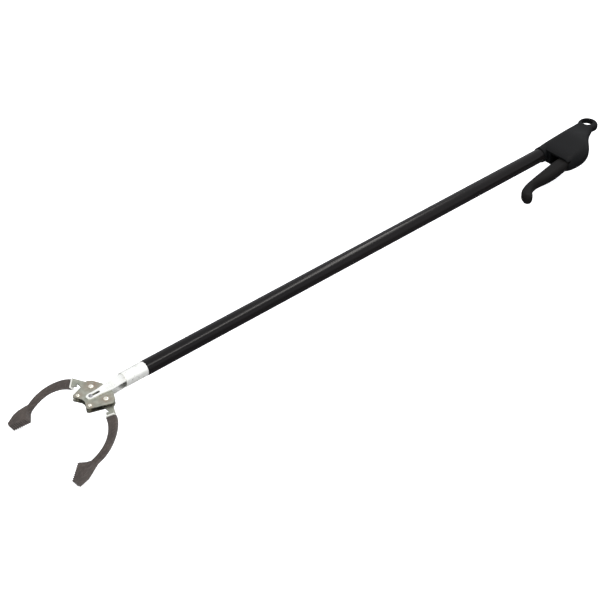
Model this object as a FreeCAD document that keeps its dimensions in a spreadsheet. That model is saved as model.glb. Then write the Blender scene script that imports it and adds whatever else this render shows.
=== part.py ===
import FreeCAD, Part
import math
import os
import Sketcher
from FreeCAD import Placement, Rotation, Vector

# Pistol-grip reacher grabber, in millimetres.
# X runs along the tube from the jaws towards the handle, Y across the jaws (left is +Y), Z up.
# The origin is on the tube's axis, at the middle of the bare tube between head and handle.

doc = FreeCAD.newDocument("reacher_grabber")
sheet = doc.addObject("Spreadsheet::Sheet", "sizes")

SIZES = [
    # tube
    ("tube_dia", 18.0, "outside of the painted tube"),
    ("tube_bore", 15.4, "bore of the tube"),
    ("bare_length", 648.0, "tube seen between socket and handle"),
    ("tube_in_handle", 21.0, "tube held inside the handle"),
    # head socket
    ("socket_dia", 17.4, "socket in front of the tube"),
    ("socket_wall", 1.2, "sheet of the socket and its straps"),
    ("socket_visible", 30.0, "socket in front of the tube's end"),
    ("socket_neck", 20.0, "socket pushed into the tube"),
    ("strap_width", 9.4, "narrow end of each strap"),
    ("strap_reach", 15.4, "strap in front of the pivot line"),
    # head, measured from the pivot line
    ("pivot_setback", 62.5, "pivot line in front of the tube's end"),
    ("pivot_half", 13.6, "claw pivot to the centre line"),
    ("stop_ahead", 19.6, "stop rivets in front of the pivots"),
    ("stop_half", 10.9, "stop rivet to the centre line"),
    ("stack_drop", 2.2, "claw levers below the tube's axis"),
    ("plate_sheet", 1.0, "head plate thickness"),
    ("lever_sheet", 1.2, "claw lever thickness"),
    ("layer_gap", 0.1, "running gap between layers"),
    ("pivot_rivet", 4.0, "pivot rivet shank diameter"),
    ("stop_rivet", 3.0, "stop rivet shank diameter"),
    ("drive_dia", 3.0, "drive pin diameter"),
    ("claw_swing", 37.0, "swing of each claw in degrees"),
    ("claw_droop", 30.0, "claws bend down by this many degrees"),
    ("bend_ahead", 7.5, "bend line in front of the pivot line"),
    # jaws, measured in the drooping plane
    ("arm_depth", 7.6, "rubber arm across its plane"),
    ("arm_sag", 1.4, "rubber arm below the middle of the jaw"),
    ("jaw_depth", 11.0, "rubber jaw across its plane"),
    # pull rod and spring
    ("rod_dia", 3.2, "pull rod"),
    ("spring_mean", 10.4, "spring coil mean diameter"),
    ("spring_wire", 1.2, "spring wire"),
    ("spring_length", 28.0, "spring as fitted"),
    ("spring_turns", 8.0, "coils in the spring"),
    # handle, measured from the front of its collar
    ("collar_dia", 20.6, "handle collar"),
    ("shell_wall", 2.4, "moulded wall"),
    ("eye_x", 103.8, "hanging eye behind the collar front"),
    ("eye_y", 7.0, "hanging eye above the axis"),
    ("eye_dia", 26.4, "outside of the hanging eye"),
    ("eye_half", 4.6, "half of the eye's thickness"),
    ("eye_hole", 12.8, "hole of the hanging eye"),
    # trigger
    ("trigger_x", 34.0, "trigger pivot behind the collar front"),
    ("trigger_drop", 38.0, "trigger pivot below the axis"),
    ("trigger_half", 6.6, "half of the trigger's thickness"),
    ("trigger_pin", 4.0, "trigger pivot pin diameter"),
    ("lever_half", 3.0, "half of the trigger lever's thickness"),
    ("clevis_dia", 12.0, "rod clevis"),
]
for row, (alias, size, note) in enumerate(SIZES, start=1):
    sheet.set(f"A{row}", alias)
    sheet.set(f"B{row}", str(size))
    sheet.set(f"C{row}", note)
    sheet.setAlias(f"B{row}", alias)
doc.recompute()


def val(alias):
    return float(sheet.get(alias))


X_AXIS = Vector(1, 0, 0)
Y_AXIS = Vector(0, 1, 0)
Z_AXIS = Vector(0, 0, 1)

# Places worked out from the sizes.
TUBE_FRONT = -val("bare_length") / 2
COLLAR = val("bare_length") / 2
PIVOT_X = TUBE_FRONT - val("pivot_setback")
SOCKET_FRONT = TUBE_FRONT - val("socket_visible")
STACK_Z = -val("stack_drop")
ROD_EYE_HALF = val("lever_sheet") / 2
LEVER_INNER = ROD_EYE_HALF + val("layer_gap")
LEVER_OUTER = LEVER_INNER + val("lever_sheet")
PLATE_INNER = LEVER_OUTER + val("layer_gap")
PLATE_OUTER = PLATE_INNER + val("plate_sheet")
STRAP_OUTER = PLATE_OUTER + val("socket_wall")
ROD_TRAVEL = val("pivot_half") * math.tan(math.radians(val("claw_swing")))
DRIVE_X = PIVOT_X - ROD_TRAVEL
CLEVIS_X = COLLAR + val("trigger_x") - ROD_TRAVEL / 2
SPRING_REAR = COLLAR - 8.0
SPRING_FRONT = SPRING_REAR - val("spring_length")
LOCK_SCREW_X = 10.0

nodes = []


def keep(obj, label):
    """Name a finished sub-part; its label becomes its file's name."""
    obj.Label = label
    nodes.append(obj)
    return obj


def feature(label, shape):
    """A sub-part whose shape comes from Part's own functions."""
    obj = doc.addObject("Part::Feature", label)
    obj.Shape = shape
    return keep(obj, label)


def cylinder(name, radius, height, place, direction=Z_AXIS):
    """A cylinder whose radius, height and place are expressions on the sheet."""
    obj = doc.addObject("Part::Cylinder", name)
    obj.setExpression("Radius", radius)
    obj.setExpression("Height", height)
    obj.Placement = Placement(Vector(), Rotation(Z_AXIS, direction))
    for letter, text in zip("xyz", place):
        obj.setExpression(f"Placement.Base.{letter}", text)
    return obj


def dome(name, radius, height, place, direction=Z_AXIS):
    """Half an ellipsoid: a domed rivet head standing on its flat side."""
    obj = doc.addObject("Part::Ellipsoid", name)
    obj.Angle1 = 0
    obj.Angle2 = 90
    obj.setExpression("Radius1", height)
    obj.setExpression("Radius2", radius)
    obj.Placement = Placement(Vector(), Rotation(Z_AXIS, direction))
    for letter, text in zip("xyz", place):
        obj.setExpression(f"Placement.Base.{letter}", text)
    return obj


def fused(name, pieces):
    obj = doc.addObject("Part::MultiFuse", name)
    obj.Shapes = pieces
    return obj


def cut(name, base, tool):
    obj = doc.addObject("Part::Cut", name)
    obj.Base = base
    obj.Tool = tool
    return obj


def rod_solid(start, end, radius):
    """A plain cylinder between two points."""
    along = end - start
    return Part.makeCylinder(radius, along.Length, start, along)


def prism(edges, low, high):
    """Extrude a closed outline in the XY plane between two heights."""
    face = Part.Face(Part.Wire(Part.__sortEdges__(edges)))
    face.translate(Vector(0, 0, low))
    return face.extrude(Vector(0, 0, high - low))


def segments(points):
    """Straight edges through the points, in order."""
    return [Part.makeLine(a, b) for a, b in zip(points, points[1:]) if a.distanceToPoint(b) > 1e-6]


def curve(points):
    """One smooth edge through the points."""
    spline = Part.BSplineCurve()
    spline.interpolate(points)
    return spline.toShape()


def polygon(points):
    return segments(points + points[:1])


def block(x_low, x_high, y_low, y_high, z_low, z_high):
    """A box between two limits along each axis."""
    size = Vector(x_high - x_low, y_high - y_low, z_high - z_low)
    return Part.makeBox(size.x, size.y, size.z, Vector(x_low, y_low, z_low))


def mirrored(shape):
    """The same shape on the other side of the centre plane."""
    return shape.mirror(Vector(), Y_AXIS)


# ---------------------------------------------------------------- tube

def make_tube():
    place = ("-sizes.bare_length / 2", "0", "0")
    length = "sizes.bare_length + sizes.tube_in_handle"
    outer = cylinder("tube_outer", "sizes.tube_dia / 2", length, place, X_AXIS)
    bore = cylinder("tube_bore_tool", "sizes.tube_bore / 2", length, place, X_AXIS)
    hole = cylinder("tube_lock_hole", "1.45", "sizes.tube_dia / 2",
                    (f"sizes.bare_length / 2 + {LOCK_SCREW_X}", "0", "-sizes.tube_dia / 2 - 2"))
    keep(cut("tube_cut", outer, fused("tube_tools", [bore, hole])), "main_tube")


# ---------------------------------------------------------------- head

def arch(x, half_width, edge_z, crown_z, sheet, side):
    """A cross-section of a strap where it opens out from the round socket."""
    rise = [Vector(x, -half_width, side * edge_z), Vector(x, 0, side * crown_z),
            Vector(x, half_width, side * edge_z)]
    fall = [Vector(p.x, p.y, p.z - side * sheet) for p in rise]
    outer = Part.Arc(*rise).toShape()
    inner = Part.Arc(*fall).toShape()
    return Part.Wire([outer, Part.makeLine(rise[2], fall[2]), inner, Part.makeLine(fall[0], rise[0])])


def strap(side, level):
    """One flattened strap of the socket; side is 1 above and -1 below the plates."""
    wall = val("socket_wall")
    radius = val("socket_dia") / 2
    flat = level - side * wall
    width = val("strap_width") / 2
    wide = radius - 2.0
    start_edge = math.sqrt(radius ** 2 - 7.4 ** 2)
    end = side * level
    sections = [
        arch(SOCKET_FRONT + 3.0, 7.4, start_edge, radius, wall, side),
        arch(SOCKET_FRONT - 5.0, wide, (start_edge + end) / 2, end + 0.3 * (radius - end), wall, side),
        arch(SOCKET_FRONT - 15.0, wide, end, end + 0.15, wall, side),
    ]
    root = Part.makeLoft(sections, True, False)
    tip = PIVOT_X - val("strap_reach")
    outline = [
        Vector(SOCKET_FRONT - 14.5, wide, 0),
        Vector(PIVOT_X + 14.0, wide, 0),
        Vector(PIVOT_X + 1.0, width, 0),
        Vector(tip + 3.0, width - 0.3, 0),
        Vector(tip, width - 2.4, 0),
    ]
    outline += [Vector(p.x, -p.y, 0) for p in reversed(outline)]
    blade = prism(polygon(outline), min(flat, level), max(flat, level))
    blade = blade.makeFillet(1.8, [e for e in blade.Edges if near_tip(e, tip)])
    return root.fuse(blade).cut(slot_tool(-20, 20))


def near_tip(edge, tip):
    """The upright edges at the rounded front of a strap."""
    box = edge.BoundBox
    return box.XMax < tip + 3.5 and box.XLength < 1e-6 and box.YLength < 1e-6


def slot_tool(low, high):
    """The slot that guides the drive pin, as a solid to cut with."""
    half = val("drive_dia") / 2 + 0.15
    front = Vector(DRIVE_X - 0.3, 0, 0)
    rear = Vector(PIVOT_X + 0.3, 0, 0)
    body = block(front.x, rear.x, -half, half, low, high)
    ends = [Part.makeCylinder(half, high - low, Vector(p.x, 0, low)) for p in (front, rear)]
    return body.fuse(ends[0]).fuse(ends[1])


def make_socket():
    """Pressed steel socket: a neck in the tube, a round body and two flattened straps."""
    radius = val("socket_dia") / 2
    neck = val("tube_bore") / 2
    inside = neck - 1.0
    body = rod_solid(Vector(SOCKET_FRONT, 0, 0), Vector(TUBE_FRONT, 0, 0), radius)
    body = body.makeFillet(1.0, [e for e in body.Edges if e.BoundBox.XMin > TUBE_FRONT - 0.01])
    stub = rod_solid(Vector(TUBE_FRONT - 2, 0, 0), Vector(TUBE_FRONT + val("socket_neck"), 0, 0), neck)
    bore = rod_solid(Vector(SOCKET_FRONT - 1, 0, 0), Vector(TUBE_FRONT + 40, 0, 0), inside)
    wide_bore = rod_solid(
        Vector(SOCKET_FRONT - 1, 0, 0), Vector(TUBE_FRONT - 6, 0, 0), radius - val("socket_wall"))
    shape = body.fuse(stub).cut(bore).cut(wide_bore)
    upper = strap(1, STACK_Z + STRAP_OUTER)
    lower = strap(-1, STACK_Z - STRAP_OUTER)
    feature("head_socket", shape.fuse(upper).fuse(lower))


def bind(sketch, name, kind, first, second, text):
    """Add one distance or radius constraint whose value is an expression."""
    index = sketch.addConstraint(Sketcher.Constraint(kind, *first, *second))
    sketch.renameConstraint(index, name)
    sketch.setExpression(f"Constraints.{name}", text)


def plane_of(body, role):
    return next(f for f in body.Origin.OriginFeatures if f.Role == role)


def make_head_plate(label, level):
    """Butterfly plate that carries the claw pivots, with holes for four rivets and the pin's slot."""
    body = doc.addObject("PartDesign::Body", label + "_body")
    sketch = body.newObject("Sketcher::SketchObject", label + "_outline")
    sketch.AttachmentSupport = [(plane_of(body, "XY_Plane"), "")]
    sketch.MapMode = "FlatFace"
    half = [
        Vector(12.5, 9.5, 0), Vector(7.0, 21.0, 0), Vector(2.0, 24.3, 0), Vector(-8.5, 20.4, 0),
        Vector(-23.5, 14.9, 0), Vector(-25.2, 12.5, 0), Vector(-19.8, 2.5, 0),
    ]
    outline = half + [Vector(p.x, -p.y, 0) for p in reversed(half)]
    for a, b in zip(outline, outline[1:] + outline[:1]):
        sketch.addGeometry(Part.LineSegment(a, b))
    holes = [
        ("pivot_l", "0", "sizes.pivot_half", "sizes.pivot_rivet / 2"),
        ("pivot_r", "0", "-sizes.pivot_half", "sizes.pivot_rivet / 2"),
        ("stop_l", "-sizes.stop_ahead", "sizes.stop_half", "sizes.stop_rivet / 2"),
        ("stop_r", "-sizes.stop_ahead", "-sizes.stop_half", "sizes.stop_rivet / 2"),
    ]
    for name, x_text, y_text, r_text in holes:
        side = 1 if name.endswith("_l") else -1
        ahead = 0 if name.startswith("pivot") else val("stop_ahead")
        spread = val("pivot_half") if name.startswith("pivot") else val("stop_half")
        where = Vector(-ahead, side * spread, 0)
        circle = sketch.addGeometry(Part.Circle(where, Z_AXIS, 1.5))
        bind(sketch, name + "_across", "DistanceY", (-1, 1), (circle, 3, where.y), y_text)
        bind(sketch, name + "_along", "DistanceX", (-1, 1), (circle, 3, where.x), x_text)
        bind(sketch, name + "_round", "Radius", (circle,), (1.5,), r_text)
    pad = body.newObject("PartDesign::Pad", label + "_pad")
    pad.Profile = sketch
    pad.setExpression("Length", "sizes.plate_sheet")
    body.Tip = pad
    body.setExpression("Placement.Base.x", "-sizes.bare_length / 2 - sizes.pivot_setback")
    body.Placement.Base.z = level
    tool = doc.addObject("Part::Feature", label + "_slot")
    tool.Shape = slot_tool(level - 1, level + 3)
    keep(cut(label + "_cut", body, tool), label)


STACK_TEXT = "(1.5 * sizes.lever_sheet + 2 * sizes.layer_gap + sizes.plate_sheet)"


def make_rivet(label, ahead, spread, shank, head):
    """A rivet through both head plates with a domed head above and below."""
    x_text = f"-sizes.bare_length / 2 - sizes.pivot_setback - {ahead}"
    top = f"{STACK_TEXT} - sizes.stack_drop"
    low = f"-{STACK_TEXT} - sizes.stack_drop"
    pin = cylinder(label + "_shank", f"{shank} / 2", f"2 * {STACK_TEXT}", (x_text, spread, low))
    upper = dome(label + "_top", head, f"{head} * 0.55", (x_text, spread, top))
    lower = dome(label + "_low", head, f"{head} * 0.55", (x_text, spread, low), -Z_AXIS)
    keep(fused(label + "_fuse", [pin, upper, lower]), label)


def ring(label, outer, inner, length, place, direction=Z_AXIS):
    """A plain washer, bush or spacer."""
    body = cylinder(label + "_body", outer, length, place, direction)
    hole = cylinder(label + "_hole", inner, length, place, direction)
    return cut(label + "_cut", body, hole)


def make_head_hardware():
    line = "-sizes.bare_length / 2 - sizes.pivot_setback"
    for name, sign in (("left", ""), ("right", "-")):
        make_rivet(f"{name}_pivot_rivet", "0", f"{sign}sizes.pivot_half", "sizes.pivot_rivet", "3.2")
        make_rivet(f"{name}_stop_rivet", "sizes.stop_ahead", f"{sign}sizes.stop_half",
                   "sizes.stop_rivet", "2.3")
    inner = f"({STACK_TEXT} - sizes.plate_sheet)"
    for name, sign in (("left", ""), ("right", "-")):
        place = (f"{line} - sizes.stop_ahead", f"{sign}sizes.stop_half", f"-{inner} - sizes.stack_drop")
        keep(ring(f"{name}_spacer", "2.7", "sizes.stop_rivet / 2", f"2 * {inner}", place),
             f"{name}_stop_spacer")
    depth = "(sizes.lever_sheet * 2 + sizes.layer_gap * 2)"
    lift = {"left": f"-{inner} - sizes.stack_drop", "right": f"{inner} - {depth} - sizes.stack_drop"}
    for name, sign in (("left", ""), ("right", "-")):
        place = (line, f"{sign}sizes.pivot_half", lift[name])
        keep(ring(f"{name}_washer", "4.2", "sizes.pivot_rivet / 2", depth, place),
             f"{name}_pivot_washer")


# ---------------------------------------------------------------- claws

def droop_place():
    """The claws' own plane: u forward and down, v to the side, w across, seen from the bend line."""
    bend = Vector(PIVOT_X - val("bend_ahead"), 0, STACK_Z)
    turn = Rotation(Y_AXIS, -val("claw_droop")).multiply(Rotation(Z_AXIS, 180))
    return Placement(bend, turn)


def in_droop(points):
    """Outline points (forward, sideways); the turned frame has its sideways axis reversed."""
    return [Vector(u, -v, 0) for u, v in points]


ARM_START_OUT = (-1.2, 39.2)
ARM_START_IN = (8.2, 32.4)
OUTER_CURVE = [ARM_START_OUT, (5.0, 47.8), (13.5, 54.6), (25.5, 60.4), (38.0, 63.0), (52.5, 61.6)]
INNER_CURVE = [ARM_START_IN, (17.0, 46.0), (26.0, 52.4), (40.0, 56.0), (56.5, 54.6)]
JAW_BACK = (68.6, 64.6)
JAW_TIP_OUT = (80.0, 62.6)
JAW_TIP_IN = (81.4, 58.9)
JAW_HEEL = (62.6, 48.0)
TOOTH_COUNT = 9
TOOTH_HEIGHT = 1.2


def toothed_edge():
    """The gripping face from tip to heel: a row of ridges that run across the jaw."""
    start = Vector(JAW_TIP_IN[0], JAW_TIP_IN[1], 0)
    end = Vector(JAW_HEEL[0], JAW_HEEL[1], 0)
    step = (end - start) / TOOTH_COUNT
    inward = Vector(-step.y, step.x, 0).normalize() * -TOOTH_HEIGHT
    if inward.y > 0:
        inward = inward * -1
    points = []
    for i in range(TOOTH_COUNT):
        root = start + step * i
        crest = start + step * (i + 0.5) + inward
        points += [(root.x, root.y), (crest.x, crest.y)]
    return points + [JAW_HEEL]


def rubber_shape():
    """The left claw's moulding: a curved arm that ends in a wide ridged jaw."""
    arm_half = val("arm_depth") / 2
    jaw_half = val("jaw_depth") / 2
    outer = in_droop(OUTER_CURVE)
    inner = in_droop(INNER_CURVE)
    tip_side = in_droop([OUTER_CURVE[-1], JAW_BACK, JAW_TIP_OUT, JAW_TIP_IN])
    heel_side = in_droop([JAW_HEEL, INNER_CURVE[-1]])
    teeth = in_droop(toothed_edge())
    arm_edges = [curve(outer), curve(inner)] + segments([outer[-1], in_droop([JAW_BACK])[0]])
    arm_edges += segments([in_droop([JAW_BACK])[0], inner[-1]]) + segments([inner[0], outer[0]])
    sag = val("arm_sag")
    arm = prism(arm_edges, -arm_half - sag, arm_half - sag)
    arm = soften(arm, 2.2, lambda b: b.ZLength < 1e-6 and b.XMax < 57.0)
    neck_in = Vector(53.0, -56.6, 0)
    neck_out = Vector(51.0, -60.6, 0)
    jaw_edges = segments(tip_side) + segments(teeth) + segments(heel_side)
    jaw_edges += segments([inner[-1], neck_in, neck_out, outer[-1]])
    jaw = prism(jaw_edges, -jaw_half, jaw_half)
    trims = []
    for side in (1, -1):
        corner = [Vector(48, 0, side * arm_half * 0.9 - sag), Vector(62, 0, side * (jaw_half + 0.01)),
                  Vector(62, 0, side * 20), Vector(48, 0, side * 20)]
        face = Part.Face(Part.makePolygon(corner + corner[:1]))
        face.translate(Vector(0, -80, 0))
        trims.append(face.extrude(Vector(0, 80, 0)))
    jaw = jaw.cut(trims[0]).cut(trims[1])
    shape = arm.fuse(jaw).removeSplitter()
    return shape


def soften(shape, radius, pick):
    """Round the chosen edges, with a smaller radius where the larger one doesn't close."""
    chosen = [e for e in shape.Edges if pick(e.BoundBox)]
    for trial in (radius, radius * 0.75, radius * 0.5, radius * 0.3):
        try:
            out = shape.makeFillet(trial, chosen)
            if out.isValid() and out.Volume > 0:
                return out
        except Part.OCCError:
            continue
    raise RuntimeError("no radius closed on these edges")


def tang_outline():
    """The steel tang inside the rubber arm, in the drooping plane."""
    return in_droop([(-5.5, 34.0), (3.0, 26.5), (9.5, 38.8), (18.5, 48.8), (27.5, 54.8),
                     (25.0, 57.6), (14.0, 51.6), (4.0, 43.0)])


def lever_shape(upper):
    """The left claw's steel lever at one level: pivot eye, slotted drive arm, shank and tang."""
    sheet_half = val("lever_sheet") / 2
    middle = (LEVER_INNER + LEVER_OUTER) / 2 * (1 if upper else -1)
    low = STACK_Z + middle - sheet_half
    high = STACK_Z + middle + sheet_half
    pivot = Vector(PIVOT_X, val("pivot_half"), 0)
    drive = Vector(DRIVE_X, 0, 0)
    along = (drive - pivot).normalize()
    across = Vector(-along.y, along.x, 0)
    reach = (drive - pivot).Length
    end = pivot + along * reach
    arm = prism(polygon([pivot + across * 6.5, end + across * 4.6, end - across * 4.6,
                         pivot - across * 6.5]), low, high)
    eye = Part.makeCylinder(7.6, high - low, Vector(pivot.x, pivot.y, low))
    knob = Part.makeCylinder(4.6, high - low, Vector(end.x, end.y, low))
    bend_x = PIVOT_X - val("bend_ahead")
    shank = prism(polygon([
        pivot + Vector(3.5, 6.5, 0), Vector(bend_x + 1.5, 39.6, 0), Vector(bend_x - 2.0, 38.4, 0),
        Vector(bend_x - 6.5, 31.0, 0), pivot + Vector(-6.5, 4.0, 0)]), low, high)
    frame = droop_place()
    frame.Base.z = STACK_Z + middle
    tang = prism(polygon(tang_outline()), -sheet_half, sheet_half)
    tang.Placement = frame
    front = block(bend_x - 200, bend_x, -200, 200, -200, 200)
    back = block(bend_x, bend_x + 200, -200, 200, -200, 200)
    shank = shank.common(back)
    tang = tang.common(front)
    plate = arm.fuse(eye).fuse(knob).fuse(shank).fuse(tang)
    hole = Part.makeCylinder(val("pivot_rivet") / 2 + 0.05, 20, Vector(pivot.x, pivot.y, -12))
    slot_half = val("drive_dia") / 2 + 0.7
    near = pivot + along * (val("pivot_half") - 0.3)
    far = pivot + along * (reach + 0.3)
    slot = prism(polygon([near + across * slot_half, far + across * slot_half,
                          far - across * slot_half, near - across * slot_half]), -12, 8)
    for point in (near, far):
        slot = slot.fuse(Part.makeCylinder(slot_half, 20, Vector(point.x, point.y, -12)))
    return plate.cut(hole).cut(slot).removeSplitter()


def band_shape():
    """The pale collar at the root of the rubber, square to the arm."""
    start = Vector(*ARM_START_OUT, 0)
    end = Vector(*ARM_START_IN, 0)
    side = (end - start).normalize()
    back = Vector(-side.y, side.x, 0)
    if back.x > 0:
        back = back * -1
    a = start + side * 0.7
    b = end - side * 0.7
    corners = [(p.x, p.y) for p in (a, b, b + back * 1.6, a + back * 1.6)]
    return prism(polygon(in_droop(corners)), -4.6, 2.6)


def make_claws():
    frame = droop_place()
    rubber = rubber_shape()
    rubber.Placement = frame
    band = band_shape()
    band.Placement = frame
    for name, upper in (("left", True), ("right", False)):
        lever = lever_shape(upper)
        cover = rubber.cut(lever)
        collar = band.cut(lever)
        if name == "right":
            lever, cover, collar = [mirrored(s) for s in (lever, cover, collar)]
        feature(f"{name}_claw_lever", lever)
        feature(f"{name}_claw_rubber", cover)
        feature(f"{name}_claw_band", collar)


# ---------------------------------------------------------------- pull rod

def make_pull_rod():
    """Steel rod with a flattened eye at the head and a step down to the level of the levers."""
    radius = val("rod_dia") / 2
    clevis_front = CLEVIS_X - 17.0
    step_front = PIVOT_X + 12.0
    step_rear = SOCKET_FRONT - 4.0
    route = [Vector(DRIVE_X + 3.0, 0, STACK_Z), Vector(step_front, 0, STACK_Z),
             Vector(step_rear, 0, 0), Vector(clevis_front + 5.0, 0, 0)]
    solids = [rod_solid(a, b, radius) for a, b in zip(route, route[1:])]
    solids += [Part.makeSphere(radius, p) for p in route[1:3]]
    shape = solids[0]
    for piece in solids[1:]:
        shape = shape.fuse(piece)
    half = ROD_EYE_HALF
    levers = block(DRIVE_X - 20, PIVOT_X + 10, -20, 20, STACK_Z + half, STACK_Z + 10)
    under = block(DRIVE_X - 20, PIVOT_X + 10, -20, 20, STACK_Z - 10, STACK_Z - half)
    shape = shape.cut(levers).cut(under)
    eye = Part.makeCylinder(4.2, 2 * half, Vector(DRIVE_X, 0, STACK_Z - half))
    blade = block(DRIVE_X, PIVOT_X + 10.5, -2.1, 2.1, STACK_Z - half, STACK_Z + half)
    hole = Part.makeCylinder(val("drive_dia") / 2, 20, Vector(DRIVE_X, 0, STACK_Z - 10))
    feature("pull_rod", shape.fuse(eye).fuse(blade).cut(hole).removeSplitter())


def make_drive_pin():
    """Headed pin through the rod's eye, both claw levers and the slots of plates and straps."""
    x_text = ("-sizes.bare_length / 2 - sizes.pivot_setback"
              " - sizes.pivot_half * tan(sizes.claw_swing * 1deg)")
    reach = f"({STACK_TEXT} + sizes.socket_wall + 0.15)"
    pin = cylinder("drive_shank", "sizes.drive_dia / 2", f"2 * {reach}",
                   (x_text, "0", f"-{reach} - sizes.stack_drop"))
    top = dome("drive_top", "2.5", "1.1", (x_text, "0", f"{reach} - sizes.stack_drop"))
    low = dome("drive_low", "2.5", "1.1", (x_text, "0", f"-{reach} - sizes.stack_drop"), -Z_AXIS)
    keep(fused("drive_fuse", [pin, top, low]), "drive_pin")


def make_guides_and_spring():
    front = "-sizes.bare_length / 2"
    rear = "sizes.bare_length / 2"
    keep(ring("front_guide", "sizes.tube_bore / 2 - 1", "sizes.rod_dia / 2 + 0.08", "8",
              (f"{front} + 4", "0", "0"), X_AXIS), "front_rod_guide")
    keep(ring("rear_guide", "sizes.tube_bore / 2", "sizes.rod_dia / 2 + 0.08", "6",
              (f"{rear} - 8", "0", "0"), X_AXIS), "rear_rod_guide")
    keep(ring("middle_guide", "sizes.tube_bore / 2", "sizes.rod_dia / 2 + 0.08", "10",
              ("-5", "0", "0"), X_AXIS), "middle_rod_guide")
    keep(ring("collar", "6.6", "sizes.rod_dia / 2", "4",
              (f"{rear} - 12 - sizes.spring_length", "0", "0"), X_AXIS), "spring_collar")
    wire = val("spring_wire") / 2
    mean = val("spring_mean") / 2
    closed = val("spring_length") - 2 * wire
    turns = val("spring_turns")
    helix = Part.makeLongHelix(closed / turns, closed, mean)
    profile = Part.Wire(Part.makeCircle(wire, Vector(mean, 0, 0), Y_AXIS))
    coil = Part.Wire(helix.Edges).makePipeShell([profile], True, True)
    coil.Placement = Placement(Vector(SPRING_FRONT + wire, 0, 0), Rotation(Z_AXIS, X_AXIS))
    feature("return_spring", coil)


def make_clevis():
    """Fork at the rear of the rod; the trigger's slotted lever sits between its cheeks."""
    radius = val("clevis_dia") / 2
    gap = val("lever_half") + 0.15
    body = rod_solid(Vector(CLEVIS_X - 17, 0, 0), Vector(CLEVIS_X + 5, 0, 0), radius)
    body = soften(body, 1.0, lambda b: b.XLength < 1e-6)
    fork = block(CLEVIS_X - 9, CLEVIS_X + 10, -10, 10, -gap, gap)
    rod = rod_solid(Vector(CLEVIS_X - 20, 0, 0), Vector(CLEVIS_X - 12, 0, 0), val("rod_dia") / 2)
    hole = Part.makeCylinder(1.5, 20, Vector(CLEVIS_X, 0, -10))
    feature("rod_clevis", body.cut(fork).cut(rod).cut(hole).removeSplitter())
    pin = Part.makeCylinder(1.5, 2 * radius - 0.6, Vector(CLEVIS_X, 0, -radius + 0.3))
    feature("clevis_pin", pin)


# ---------------------------------------------------------------- handle

# Each row is a cross-section: distance behind the collar front, top, bottom, half thickness.
HANDLE_SECTIONS = [
    (5.5, 10.2, -44.6, 9.0),
    (14.0, 11.0, -46.6, 10.6),
    (28.0, 12.0, -47.2, 11.0),
    (44.6, 13.1, -43.4, 10.8),
    (60.4, 14.4, -32.6, 9.8),
    (75.0, 15.8, -19.4, 7.2),
    (90.0, 17.0, -10.0, 5.2),
    (102.0, 17.8, -4.0, 4.6),
]


def stadium(x, top, bottom, half):
    """A rounded cross-section of the handle: straight flanks between two half rounds."""
    upper = top - half
    lower = bottom + half
    roof = Part.Arc(Vector(x, upper, half), Vector(x, top, 0), Vector(x, upper, -half)).toShape()
    floor = Part.Arc(Vector(x, lower, -half), Vector(x, bottom, 0), Vector(x, lower, half)).toShape()
    right = Part.makeLine(Vector(x, upper, -half), Vector(x, lower, -half))
    left = Part.makeLine(Vector(x, lower, half), Vector(x, upper, half))
    return Part.Wire([roof, right, floor, left])


def handle_loft(wall, first, last):
    """The handle's body, drawn in by a wall thickness, between two of its cross-sections."""
    rows = HANDLE_SECTIONS[first:last]
    wires = [stadium(COLLAR + x, top - wall, bottom + wall, half - wall) for x, top, bottom, half in rows]
    return Part.makeLoft(wires, True, False)


def eye_solid():
    """The flat hanging eye with a rounded rim."""
    centre = Vector(COLLAR + val("eye_x"), val("eye_y"), 0)
    half = val("eye_half")
    disc = Part.makeCylinder(val("eye_dia") / 2, 2 * half, centre - Vector(0, 0, half))
    return soften(disc, 3.6, lambda b: b.ZLength < 1e-6)


def eye_hole():
    """Tool for the eye's hole: a short round wall that flares out to both faces."""
    centre = Vector(COLLAR + val("eye_x") + 1.8, val("eye_y") + 2.7, 0)
    radius = val("eye_hole") / 2
    wall = 1.0
    flare = 3.4
    tool = Part.makeCylinder(radius, 2 * wall, Vector(0, 0, -wall))
    for side in (1, -1):
        start = Vector(radius, 0, side * wall)
        middle = Vector(radius + flare * (1 - math.sqrt(0.5)), 0, side * (wall + flare * math.sqrt(0.5)))
        end = Vector(radius + flare, 0, side * (wall + flare))
        edge = Part.Arc(start, middle, end).toShape()
        lines = segments([end, Vector(end.x, 0, side * 12), Vector(0, 0, side * 12),
                          Vector(0, 0, side * wall), start])
        face = Part.Face(Part.Wire(Part.__sortEdges__([edge] + lines)))
        tool = tool.fuse(face.revolve(Vector(), Z_AXIS, 360))
    tool.translate(centre)
    return tool


SCREWS = [(76.0, 3.0), (53.0, -27.0), (54.0, 3.5)]


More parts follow.
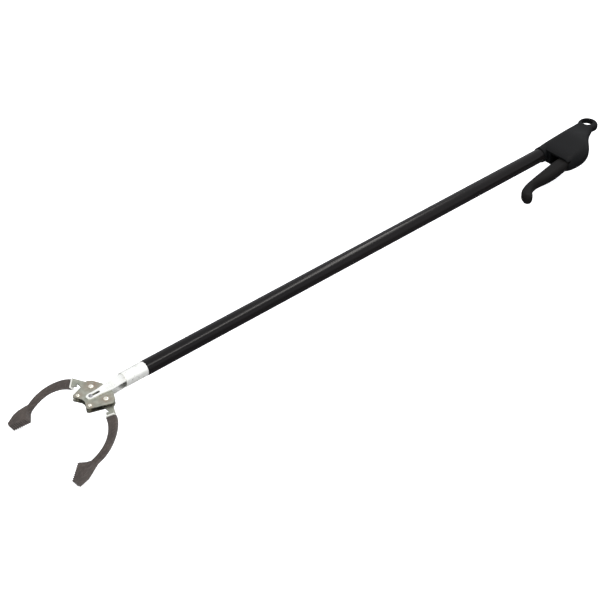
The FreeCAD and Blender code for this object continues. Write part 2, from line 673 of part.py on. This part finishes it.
def make_handle():
    """Two moulded shells that meet on the centre plane and hold the tube, the pins and the trigger."""
    radius = val("collar_dia") / 2
    wall = val("shell_wall")
    bore = val("tube_dia") / 2
    outer = handle_loft(0, 0, len(HANDLE_SECTIONS))
    collar = rod_solid(Vector(COLLAR, 0, 0), Vector(COLLAR + 18, 0, 0), radius)
    collar = soften(collar, 0.8, lambda b: b.XMax < COLLAR + 0.01)
    outer = outer.fuse(collar).fuse(eye_solid())
    inner = handle_loft(wall, 0, 5)
    pivot = Vector(COLLAR + val("trigger_x"), -val("trigger_drop"), 0)
    mouth = block(COLLAR - 5, COLLAR + 10.6, -43.7, -13.5, -6.9, 6.9)
    mouth = mouth.fuse(block(COLLAR + 9, COLLAR + 26, -42.0, -13.5, -6.9, 6.9))
    mouth = mouth.fuse(Part.makeCylinder(5.7, 9.2, pivot - Vector(0, 0, 4.6)))
    solid_collar = block(COLLAR - 10, COLLAR + val("tube_in_handle") + 2, -13.5, 40, -30, 30)
    inner = inner.fuse(mouth).cut(solid_collar)
    tube = rod_solid(Vector(COLLAR - 5, 0, 0),
                     Vector(COLLAR + val("tube_in_handle"), 0, 0), bore)
    pass_through = rod_solid(Vector(COLLAR, 0, 0), Vector(COLLAR + 50, 0, 0), val("tube_bore") / 2)
    body = outer.cut(inner).cut(tube).cut(pass_through).cut(eye_hole())
    hub_half = 4.4
    bosses = [Part.makeCylinder(4.2, 12, pivot + Vector(0, 0, hub_half + 0.1)),
              Part.makeCylinder(4.2, 12, pivot - Vector(0, 0, hub_half + 12.1))]
    for x, y in SCREWS[1:]:
        bosses.append(Part.makeCylinder(3.6, 24, Vector(COLLAR + x, y, -12)))
    for boss in bosses:
        body = body.fuse(boss.common(outer))
    pin = Part.makeCylinder(val("trigger_pin") / 2, 17, pivot - Vector(0, 0, 8.5))
    body = body.cut(pin)
    for x, y in SCREWS:
        body = body.cut(screw_solid(x, y, 0))
    body = body.cut(lock_screw_solid())
    top_half = block(COLLAR - 50, COLLAR + 200, -100, 100, 0, 50)
    low_half = block(COLLAR - 50, COLLAR + 200, -100, 100, -50, 0)
    feature("handle_shell_top", body.common(top_half).removeSplitter())
    feature("handle_shell_bottom", body.common(low_half).removeSplitter())
    feature("trigger_pivot_pin", pin)
    screws = [screw_solid(x, y, 1) for x, y in SCREWS]
    feature("handle_screws", Part.makeCompound(screws))
    feature("tube_lock_screw", lock_screw_solid())


def half_thickness(x):
    """Half of the handle's thickness at a distance behind the collar front."""
    rows = HANDLE_SECTIONS
    for (x0, _, _, h0), (x1, _, _, h1) in zip(rows, rows[1:]):
        if x0 <= x <= x1:
            return h0 + (h1 - h0) * (x - x0) / (x1 - x0)
    return rows[-1][3]


def screw_solid(x, y, driven):
    """A self-tapping screw let into the bottom shell; driven adds the cross recess."""
    level = -half_thickness(x) + 1.2
    place = Vector(COLLAR + x, y, level)
    reach = half_thickness(x) + 1.0
    shank = Part.makeCylinder(1.3, reach, place)
    head = Part.makeCylinder(2.7, 1.8, place)
    screw = shank.fuse(head)
    if not driven:
        pocket = Part.makeCylinder(2.9, 6, place - Vector(0, 0, 6))
        return screw.fuse(pocket)
    for turn in (0, 90):
        blade = Part.makeBox(3.2, 0.7, 0.9, Vector(-1.6, -0.35, 0))
        blade.Placement = Placement(place, Rotation(Z_AXIS, turn))
        screw = screw.cut(blade)
    return screw


def lock_screw_solid():
    """Short screw that pins the tube in the bottom shell; it stays clear of the rod."""
    x = COLLAR + LOCK_SCREW_X
    shank = Part.makeCylinder(1.4, 3.6, Vector(x, 0, -10.6))
    head = Part.makeCylinder(2.6, 1.0, Vector(x, 0, -10.6))
    return shank.fuse(head)


# ---------------------------------------------------------------- trigger

# Outline of the finger lever, from the collar front and the tube's axis, along the inner edge
# to the flared tip and back along the outer edge.
TRIGGER_INNER = [(9.0, -24.8), (-18.0, -28.4), (-41.0, -32.4), (-64.0, -36.8), (-77.0, -40.6),
                 (-87.4, -47.0), (-92.4, -54.6)]
TRIGGER_TIP = (-91.4, -61.0)
TRIGGER_OUTER = [(-86.4, -63.2), (-79.0, -58.6), (-73.6, -53.0), (-66.0, -48.8), (-56.0, -46.8),
                 (-42.0, -47.6), (-28.0, -48.0), (-12.0, -46.2), (8.0, -42.8)]


def make_trigger():
    half = val("trigger_half")
    pivot = Vector(COLLAR + val("trigger_x"), -val("trigger_drop"), 0)
    inner = [Vector(COLLAR + x, y, 0) for x, y in TRIGGER_INNER]
    outer = [Vector(COLLAR + x, y, 0) for x, y in TRIGGER_OUTER]
    tip = Vector(COLLAR + TRIGGER_TIP[0], TRIGGER_TIP[1], 0)
    nose = Part.Arc(inner[-1], tip, outer[0]).toShape()
    rear_step = Vector(COLLAR + 10.5, -41.7, 0)
    rear_low = Vector(COLLAR + 24, -41.0, 0)
    rear_top = Vector(COLLAR + 24, -28.6, 0)
    edges = [curve(inner), nose, curve(outer)] + segments([outer[-1], rear_step, rear_low, rear_top, inner[0]])
    blade = prism(edges, -half, half)
    blade = soften(blade, 5.0, lambda b: b.ZLength < 1e-6 and b.XMax < COLLAR + 10)
    hub_half = 4.4
    hub = Part.makeCylinder(5.2, 2 * hub_half, pivot - Vector(0, 0, hub_half))
    neck = prism(polygon([Vector(COLLAR + 18, -41.2, 0), Vector(pivot.x, -42.9, 0),
                          Vector(pivot.x + 1.5, -33.2, 0), Vector(COLLAR + 18, -29.0, 0)]),
                 -hub_half, hub_half)
    eye = Vector(CLEVIS_X, 0, 0)
    along = (eye - pivot).normalize()
    across = Vector(-along.y, along.x, 0)
    thin = val("lever_half")
    end = eye + along * 0.5
    lever = prism(polygon([pivot + across * 5.2, end + across * 4.2, end - across * 4.2,
                           pivot - across * 5.2]), -thin, thin)
    knob = Part.makeCylinder(4.2, 2 * thin, end - Vector(0, 0, thin))
    slot_half = 1.5 + 0.05
    near = pivot + along * (val("trigger_drop") - 0.25)
    far = pivot + along * ((eye - pivot).Length + 0.25)
    slot = prism(polygon([near + across * slot_half, far + across * slot_half,
                          far - across * slot_half, near - across * slot_half]), -10, 10)
    for point in (near, far):
        slot = slot.fuse(Part.makeCylinder(slot_half, 20, point - Vector(0, 0, 10)))
    hole = Part.makeCylinder(val("trigger_pin") / 2 + 0.05, 40, pivot - Vector(0, 0, 20))
    gap = Part.makeCylinder(6.0, 40, pivot - Vector(0, 0, 20))
    gap = gap.cut(Part.makeCylinder(7.0, 2 * hub_half, pivot - Vector(0, 0, hub_half)))
    shape = blade.cut(gap).fuse(neck).fuse(hub).fuse(lever).fuse(knob)
    feature("trigger", shape.cut(slot).cut(hole).removeSplitter())


# ---------------------------------------------------------------- build

make_tube()
make_socket()
make_head_plate("upper_head_plate", STACK_Z + PLATE_INNER)
make_head_plate("lower_head_plate", STACK_Z - PLATE_OUTER)
make_head_hardware()
make_claws()
make_pull_rod()
make_drive_pin()
make_guides_and_spring()
make_clevis()
make_handle()
make_trigger()
doc.recompute()

for obj in doc.Objects:
    if "Invalid" in obj.State or "Error" in obj.State:
        raise RuntimeError(f"{obj.Label} failed: {obj.State}")

os.makedirs("parts", exist_ok=True)
for obj in nodes:
    shape = obj.Shape
    if shape.isNull() or not shape.isValid():
        raise RuntimeError(f"{obj.Label} has no valid shape")
    shape.exportStep(f"parts/{obj.Label}.step")
    print(obj.Label, len(shape.Solids), "solids,", round(shape.Volume, 1), "mm3")
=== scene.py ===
import bpy
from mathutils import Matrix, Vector


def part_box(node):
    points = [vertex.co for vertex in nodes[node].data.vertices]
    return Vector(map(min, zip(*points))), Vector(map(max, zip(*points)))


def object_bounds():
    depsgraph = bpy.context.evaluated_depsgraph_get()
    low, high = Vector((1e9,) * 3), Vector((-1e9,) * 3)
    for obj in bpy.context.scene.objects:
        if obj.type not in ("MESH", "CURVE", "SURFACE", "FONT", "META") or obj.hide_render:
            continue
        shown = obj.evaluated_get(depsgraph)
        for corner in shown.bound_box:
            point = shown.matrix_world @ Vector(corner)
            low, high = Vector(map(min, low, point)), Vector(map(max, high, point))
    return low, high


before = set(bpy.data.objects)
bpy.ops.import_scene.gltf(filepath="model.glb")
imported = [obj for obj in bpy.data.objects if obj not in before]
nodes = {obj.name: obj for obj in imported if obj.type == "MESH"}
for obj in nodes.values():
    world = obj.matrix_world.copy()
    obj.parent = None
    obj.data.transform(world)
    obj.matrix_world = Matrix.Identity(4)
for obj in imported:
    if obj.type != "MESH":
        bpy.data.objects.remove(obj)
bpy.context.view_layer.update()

# ------------------------------------------------------------------ places from the frame

def centre_of(name):
    """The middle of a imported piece, seen from above."""
    low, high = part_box(name)
    return (low.x + high.x) / 2, (low.y + high.y) / 2


PIVOT_X, PIVOT_Y = centre_of("left_pivot_rivet")
STOP_X, STOP_Y = centre_of("left_stop_rivet")
SOCKET_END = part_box("main_tube")[0].x


# ------------------------------------------------------------------ materials

class Nodes:
    """A small helper that builds a material's node tree."""

    def __init__(self, name):
        self.mat = bpy.data.materials.new(name)
        self.mat.use_nodes = True
        self.tree = self.mat.node_tree
        self.tree.nodes.clear()
        self.out = self.add("ShaderNodeOutputMaterial")
        self.bsdf = self.add("ShaderNodeBsdfPrincipled")
        self.link(self.bsdf.outputs[0], self.out.inputs[0])

    def add(self, kind, **settings):
        node = self.tree.nodes.new(kind)
        for key, value in settings.items():
            setattr(node, key, value)
        return node

    def link(self, a, b):
        self.tree.links.new(a, b)

    def coords(self, scale=(1, 1, 1)):
        tex = self.add("ShaderNodeTexCoord")
        mapping = self.add("ShaderNodeMapping")
        mapping.inputs["Scale"].default_value = scale
        self.link(tex.outputs["Object"], mapping.inputs["Vector"])
        return mapping.outputs[0]

    def noise(self, scale, stretch=(1, 1, 1), detail=4.0, rough=0.55):
        node = self.add("ShaderNodeTexNoise")
        node.inputs["Scale"].default_value = scale
        node.inputs["Detail"].default_value = detail
        node.inputs["Roughness"].default_value = rough
        self.link(self.coords(stretch), node.inputs["Vector"])
        return node.outputs[0]

    def ramp(self, source, stops):
        node = self.add("ShaderNodeValToRGB")
        elements = node.color_ramp.elements
        while len(elements) < len(stops):
            elements.new(0.5)
        for element, (place, colour) in zip(elements, stops):
            element.position = place
            element.color = (*colour, 1.0)
        self.link(source, node.inputs[0])
        return node.outputs[0]

    def grey(self, source, stops):
        return self.ramp(source, [(p, (v, v, v)) for p, v in stops])

    def mix(self, factor, a, b, mode="MIX"):
        node = self.add("ShaderNodeMix", data_type="RGBA", blend_type=mode)
        for socket, value in ((node.inputs[0], factor), (node.inputs[6], a), (node.inputs[7], b)):
            if hasattr(value, "links"):
                self.link(value, socket)
            elif isinstance(value, (int, float)):
                socket.default_value = value
            else:
                socket.default_value = (*value, 1.0)
        return node.outputs[2]

    def math(self, operation, a, b=0.0):
        node = self.add("ShaderNodeMath", operation=operation)
        for socket, value in zip(node.inputs, (a, b)):
            if hasattr(value, "links"):
                self.link(value, socket)
            else:
                socket.default_value = value
        return node.outputs[0]

    def near(self, centre, reach):
        """1 at a point of the part, falling to 0 at a distance from it."""
        tex = self.add("ShaderNodeTexCoord")
        away = self.add("ShaderNodeVectorMath", operation="DISTANCE")
        self.link(tex.outputs["Object"], away.inputs[0])
        away.inputs[1].default_value = centre
        fall = self.add("ShaderNodeMapRange")
        fall.inputs["From Min"].default_value = 0.0
        fall.inputs["From Max"].default_value = reach
        fall.inputs["To Min"].default_value = 1.0
        fall.inputs["To Max"].default_value = 0.0
        self.link(away.outputs["Value"], fall.inputs["Value"])
        return fall.outputs[0]

    def bump(self, height, strength, distance, after=None):
        node = self.add("ShaderNodeBump")
        node.inputs["Strength"].default_value = strength
        node.inputs["Distance"].default_value = distance
        self.link(height, node.inputs["Height"])
        if after is not None:
            self.link(after, node.inputs["Normal"])
        return node.outputs[0]

    def set(self, **sockets):
        names = {"base": "Base Color", "rough": "Roughness", "metal": "Metallic",
                 "spec": "Specular IOR Level", "normal": "Normal", "sheen": "Sheen Weight"}
        for key, value in sockets.items():
            socket = self.bsdf.inputs[names[key]]
            if hasattr(value, "links"):
                self.link(value, socket)
            elif isinstance(value, tuple):
                socket.default_value = (*value, 1.0)
            else:
                socket.default_value = value
        return self.mat


def painted_tube():
    """Gloss black paint with a warm cast, faint draw lines, dust and small rubs."""
    n = Nodes("gloss_tube_paint")
    cloud = n.noise(scale=9.0, stretch=(0.35, 1, 1))
    base = n.ramp(cloud, [(0.3, (0.0050, 0.0048, 0.0052)), (0.7, (0.0090, 0.0078, 0.0074))])
    rubs = n.noise(scale=420.0, stretch=(0.02, 1, 1), detail=6.0, rough=0.7)
    rub_mask = n.grey(rubs, [(0.62, 0.0), (0.78, 1.0)])
    base = n.mix(n.math("MULTIPLY", rub_mask, 0.35), base, (0.030, 0.026, 0.024))
    speck = n.noise(scale=2300.0, stretch=(1, 1, 1), detail=2.0)
    rough = n.grey(n.noise(scale=35.0, stretch=(0.2, 1, 1)), [(0.3, 0.12), (0.7, 0.19)])
    normal = n.bump(rubs, strength=0.05, distance=0.0002)
    normal = n.bump(speck, strength=0.04, distance=0.0001, after=normal)
    return n.set(base=base, rough=rough, spec=0.14, normal=normal)


def zinc(name, light, dark, patch, rough_low, rough_high, patches, metal=1.0):
    """Zinc plate over pressed steel: cloudy spangle, brushed lines and darker patches at given points,
    brown round the rivets.
    """
    n = Nodes(name)
    cloud = n.noise(scale=160.0, stretch=(1, 1, 1), detail=5.0, rough=0.6)
    base = n.ramp(cloud, [(0.32, dark), (0.68, light)])
    lines = n.noise(scale=900.0, stretch=(0.08, 1, 1), detail=3.0)
    base = n.mix(n.math("MULTIPLY", n.grey(lines, [(0.45, 0.0), (0.75, 1.0)]), 0.30), base, dark)
    for centre, reach, strength in patches:
        blotch = n.grey(n.noise(scale=300.0), [(0.35, 0.25), (0.65, 1.0)])
        spot = n.math("MULTIPLY", n.near(centre, reach), blotch)
        base = n.mix(n.math("MULTIPLY", spot, strength), base, patch)
    rough = n.grey(cloud, [(0.3, rough_low), (0.7, rough_high)])
    normal = n.bump(lines, strength=0.08, distance=0.0001)
    normal = n.bump(n.noise(scale=1400.0), strength=0.06, distance=0.0001, after=normal)
    return n.set(base=base, rough=rough, metal=metal, normal=normal)


def claw_rubber():
    """Moulded rubber: matt dark brown-grey with fine flow streaks and a dusty bloom."""
    n = Nodes("claw_moulded_rubber")
    cloud = n.noise(scale=70.0, stretch=(1, 1, 1), detail=5.0, rough=0.6)
    base = n.ramp(cloud, [(0.3, (0.036, 0.028, 0.024)), (0.7, (0.074, 0.059, 0.050))])
    streak = n.noise(scale=520.0, stretch=(0.25, 1, 1), detail=4.0)
    base = n.mix(n.math("MULTIPLY", n.grey(streak, [(0.5, 0.0), (0.75, 1.0)]), 0.45), base,
                 (0.135, 0.112, 0.097))
    grain = n.noise(scale=2600.0, stretch=(1, 1, 1), detail=3.0)
    rough = n.grey(cloud, [(0.3, 0.62), (0.7, 0.82)])
    normal = n.bump(streak, strength=0.16, distance=0.0003)
    normal = n.bump(grain, strength=0.22, distance=0.00015, after=normal)
    return n.set(base=base, rough=rough, spec=0.32, sheen=0.12, normal=normal)


def moulded_black(name, low, high, rough_low, rough_high):
    """Satin black moulding with a fine spark-eroded grain and slight handling marks."""
    n = Nodes(name)
    cloud = n.noise(scale=42.0, stretch=(1, 1, 1), detail=4.0)
    base = n.ramp(cloud, [(0.3, low), (0.7, high)])
    grain = n.noise(scale=2400.0, stretch=(1, 1, 1), detail=3.0)
    scuff = n.noise(scale=260.0, stretch=(0.15, 1, 1), detail=6.0, rough=0.7)
    marks = n.grey(scuff, [(0.60, 0.0), (0.80, 1.0)])
    base = n.mix(n.math("MULTIPLY", marks, 0.25), base, (0.016, 0.016, 0.016))
    satin = n.grey(cloud, [(0.3, rough_low), (0.7, rough_high)])
    rough = n.math("ADD", satin, n.math("MULTIPLY", marks, 0.08))
    normal = n.bump(grain, strength=0.18, distance=0.00012)
    normal = n.bump(cloud, strength=0.05, distance=0.0006, after=normal)
    return n.set(base=base, rough=rough, spec=0.06, normal=normal)


def pale_plastic(name, low, high):
    """Pale moulded plastic for the rod guides, also used for the pale claw bands; faintly cloudy with a
    fine grain.
    """
    n = Nodes(name)
    cloud = n.noise(scale=300.0, stretch=(1, 1, 1), detail=4.0)
    base = n.ramp(cloud, [(0.3, low), (0.7, high)])
    rough = n.grey(cloud, [(0.3, 0.42), (0.7, 0.58)])
    normal = n.bump(n.noise(scale=1800.0), strength=0.12, distance=0.0001)
    return n.set(base=base, rough=rough, spec=0.4, normal=normal)


def drawn_steel():
    """Bare drawn steel with long fine lines."""
    n = Nodes("drawn_steel")
    lines = n.noise(scale=700.0, stretch=(0.03, 1, 1), detail=4.0)
    base = n.ramp(lines, [(0.3, (0.38, 0.38, 0.37)), (0.7, (0.62, 0.61, 0.59))])
    rough = n.grey(lines, [(0.3, 0.28), (0.7, 0.42)])
    normal = n.bump(lines, strength=0.1, distance=0.0001)
    return n.set(base=base, rough=rough, metal=1.0, normal=normal)


# Brown stains on the plates, each a centre, a reach in metres and a strength.
SPOTS = [(Vector((PIVOT_X, side * PIVOT_Y, 0)), 0.012, 0.85) for side in (1, -1)]
SPOTS += [(Vector((STOP_X, side * STOP_Y, 0)), 0.009, 0.7) for side in (1, -1)]
SPOTS += [(Vector((PIVOT_X + 0.006, PIVOT_Y + 0.004, 0)), 0.013, 0.7)]
# A darker greyish patch on top of the strap at the socket's front end: a centre, a reach in metres and a
# strength.
STRAP_DARK_PATCH = (Vector((SOCKET_END - 0.031, -0.004, 0.006)), 0.005, 0.8)

tube_mat = painted_tube()
bright = zinc("bright_zinc", light=(0.97, 0.97, 0.93), dark=(0.86, 0.87, 0.81), patch=(0.45, 0.44, 0.36),
              rough_low=0.24, rough_high=0.40, patches=[STRAP_DARK_PATCH], metal=0.6)
plate_mat = zinc("plate_zinc", light=(0.45, 0.455, 0.385), dark=(0.29, 0.30, 0.245),
                 patch=(0.30, 0.205, 0.145), rough_low=0.38, rough_high=0.55, patches=SPOTS)
rivet_mat = zinc("rivet_zinc", light=(0.95, 0.92, 0.82), dark=(0.78, 0.74, 0.62), patch=(0.5, 0.4, 0.3),
                 rough_low=0.20, rough_high=0.34, patches=[])
pin_mat = zinc("pin_steel", light=(0.42, 0.42, 0.42), dark=(0.22, 0.22, 0.23), patch=(0.3, 0.25, 0.2),
               rough_low=0.30, rough_high=0.45, patches=[])
rubber_mat = claw_rubber()
shell_mat = moulded_black("handle_moulding", low=(0.0035, 0.0038, 0.0042), high=(0.0060, 0.0062, 0.0065),
                          rough_low=0.36, rough_high=0.50)
trigger_mat = moulded_black("trigger_moulding", low=(0.0045, 0.0042, 0.0040),
                            high=(0.0075, 0.0068, 0.0064), rough_low=0.38, rough_high=0.52)
# The claw bands get this pale colour for the thin light line between each shank and its rubber.
band_mat = pale_plastic("band_plastic", (0.66, 0.66, 0.60), (0.80, 0.80, 0.74))
guide_mat = pale_plastic("guide_plastic", (0.70, 0.69, 0.64), (0.82, 0.81, 0.76))
steel_mat = drawn_steel()

MATERIAL_OF = {
    "main_tube": tube_mat, "head_socket": bright, "drive_pin": pin_mat,
    "upper_head_plate": plate_mat, "lower_head_plate": plate_mat,
    "handle_shell_top": shell_mat, "handle_shell_bottom": shell_mat, "trigger": trigger_mat,
    "front_rod_guide": guide_mat, "middle_rod_guide": guide_mat, "rear_rod_guide": guide_mat,
}
for side in ("left", "right"):
    MATERIAL_OF[side + "_claw_lever"] = plate_mat
    MATERIAL_OF[side + "_pivot_washer"] = plate_mat
    MATERIAL_OF[side + "_stop_spacer"] = plate_mat
    MATERIAL_OF[side + "_pivot_rivet"] = rivet_mat
    MATERIAL_OF[side + "_stop_rivet"] = rivet_mat
    MATERIAL_OF[side + "_claw_rubber"] = rubber_mat
    MATERIAL_OF[side + "_claw_band"] = band_mat

# Every other node, the rod, its fittings, the pins, spring and screws, is bare drawn steel.
for name, obj in nodes.items():
    material = MATERIAL_OF.get(name, steel_mat)
    obj.data.materials.clear()
    obj.data.materials.append(material)


# ------------------------------------------------------------------ floor, light and camera

FLOOR_REACH = 14.0
FLOOR_GAP = 0.0004
FLOOR_GLOW = 0.50
HORIZON = (0.40, (0.10, 0.10, 0.11, 1))
SKY = (0.62, (0.95, 0.96, 1.0, 1))
SKY_STRENGTH = 1.0
LENS_MM = 102.62
SENSOR_MM = 36.0
CAMERA_CLIP = 60.0
CAMERA_PLACE = Vector((-1.16512, -1.18920, 1.19625))
CAMERA_AIM = Vector((-0.11447, -0.02227, 0.0))

def stage_material():
    """A pale matt floor with a very faint cloud."""
    n = Nodes("pale_floor")
    base = n.ramp(n.noise(scale=3.0), [(0.3, (0.90, 0.90, 0.90)), (0.7, (0.93, 0.93, 0.93))])
    n.bsdf.inputs["Emission Color"].default_value = (1, 1, 1, 1)
    n.bsdf.inputs["Emission Strength"].default_value = FLOOR_GLOW
    return n.set(base=base, rough=0.9, spec=0.1)


mesh = bpy.data.meshes.new("floor")
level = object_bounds()[0][2] - FLOOR_GAP
corners = [(-FLOOR_REACH, -FLOOR_REACH), (FLOOR_REACH, -FLOOR_REACH),
           (FLOOR_REACH, FLOOR_REACH), (-FLOOR_REACH, FLOOR_REACH)]
mesh.from_pydata([(x, y, level) for x, y in corners], [], [(0, 1, 2, 3)])
floor = bpy.data.objects.new("floor", mesh)
floor.data.materials.append(stage_material())
bpy.context.scene.collection.objects.link(floor)
floor.visible_glossy = False


def area_light(name, place, aim, size, size_y, power, colour=(1, 1, 1)):
    data = bpy.data.lights.new(name, "AREA")
    data.shape = "RECTANGLE"
    data.size = size
    data.size_y = size_y
    data.energy = power
    data.color = colour
    light = bpy.data.objects.new(name, data)
    light.location = place
    light.rotation_euler = (Vector(aim) - Vector(place)).to_track_quat("-Z", "Y").to_euler()
    bpy.context.scene.collection.objects.link(light)


area_light("key", place=(1.3, -0.35, 2.1), aim=(0, 0, 0), size=3.0, size_y=0.22, power=26,
           colour=(1.0, 0.965, 0.93))
area_light("fill", place=(-1.6, -1.4, 1.9), aim=(0, 0, 0), size=1.4, size_y=1.4, power=14)

world = bpy.data.worlds.new("studio")
bpy.context.scene.world = world
world.use_nodes = True
tree = world.node_tree
tree.nodes.clear()
sky_out = tree.nodes.new("ShaderNodeOutputWorld")
sky = tree.nodes.new("ShaderNodeBackground")
place = tree.nodes.new("ShaderNodeTexCoord")
split = tree.nodes.new("ShaderNodeSeparateXYZ")
ramp = tree.nodes.new("ShaderNodeValToRGB")
shift = tree.nodes.new("ShaderNodeMapRange")
shift.inputs["From Min"].default_value = -1.0
tree.links.new(place.outputs["Generated"], split.inputs[0])
tree.links.new(split.outputs[2], shift.inputs["Value"])
tree.links.new(shift.outputs[0], ramp.inputs[0])
tree.links.new(ramp.outputs[0], sky.inputs[0])
tree.links.new(sky.outputs[0], sky_out.inputs[0])
stops = ramp.color_ramp.elements
for stop, (height, colour) in zip(stops, (HORIZON, SKY)):
    stop.position = height
    stop.color = colour
sky.inputs[1].default_value = SKY_STRENGTH

camera_data = bpy.data.cameras.new("camera")
camera_data.lens = LENS_MM
camera_data.sensor_width = SENSOR_MM
camera_data.clip_end = CAMERA_CLIP
camera = bpy.data.objects.new("camera", camera_data)
camera.location = CAMERA_PLACE
camera.rotation_euler = (CAMERA_AIM - CAMERA_PLACE).to_track_quat("-Z", "Y").to_euler()
bpy.context.scene.collection.objects.link(camera)
bpy.context.scene.camera = camera
bpy.context.scene.view_settings.view_transform = "Standard"
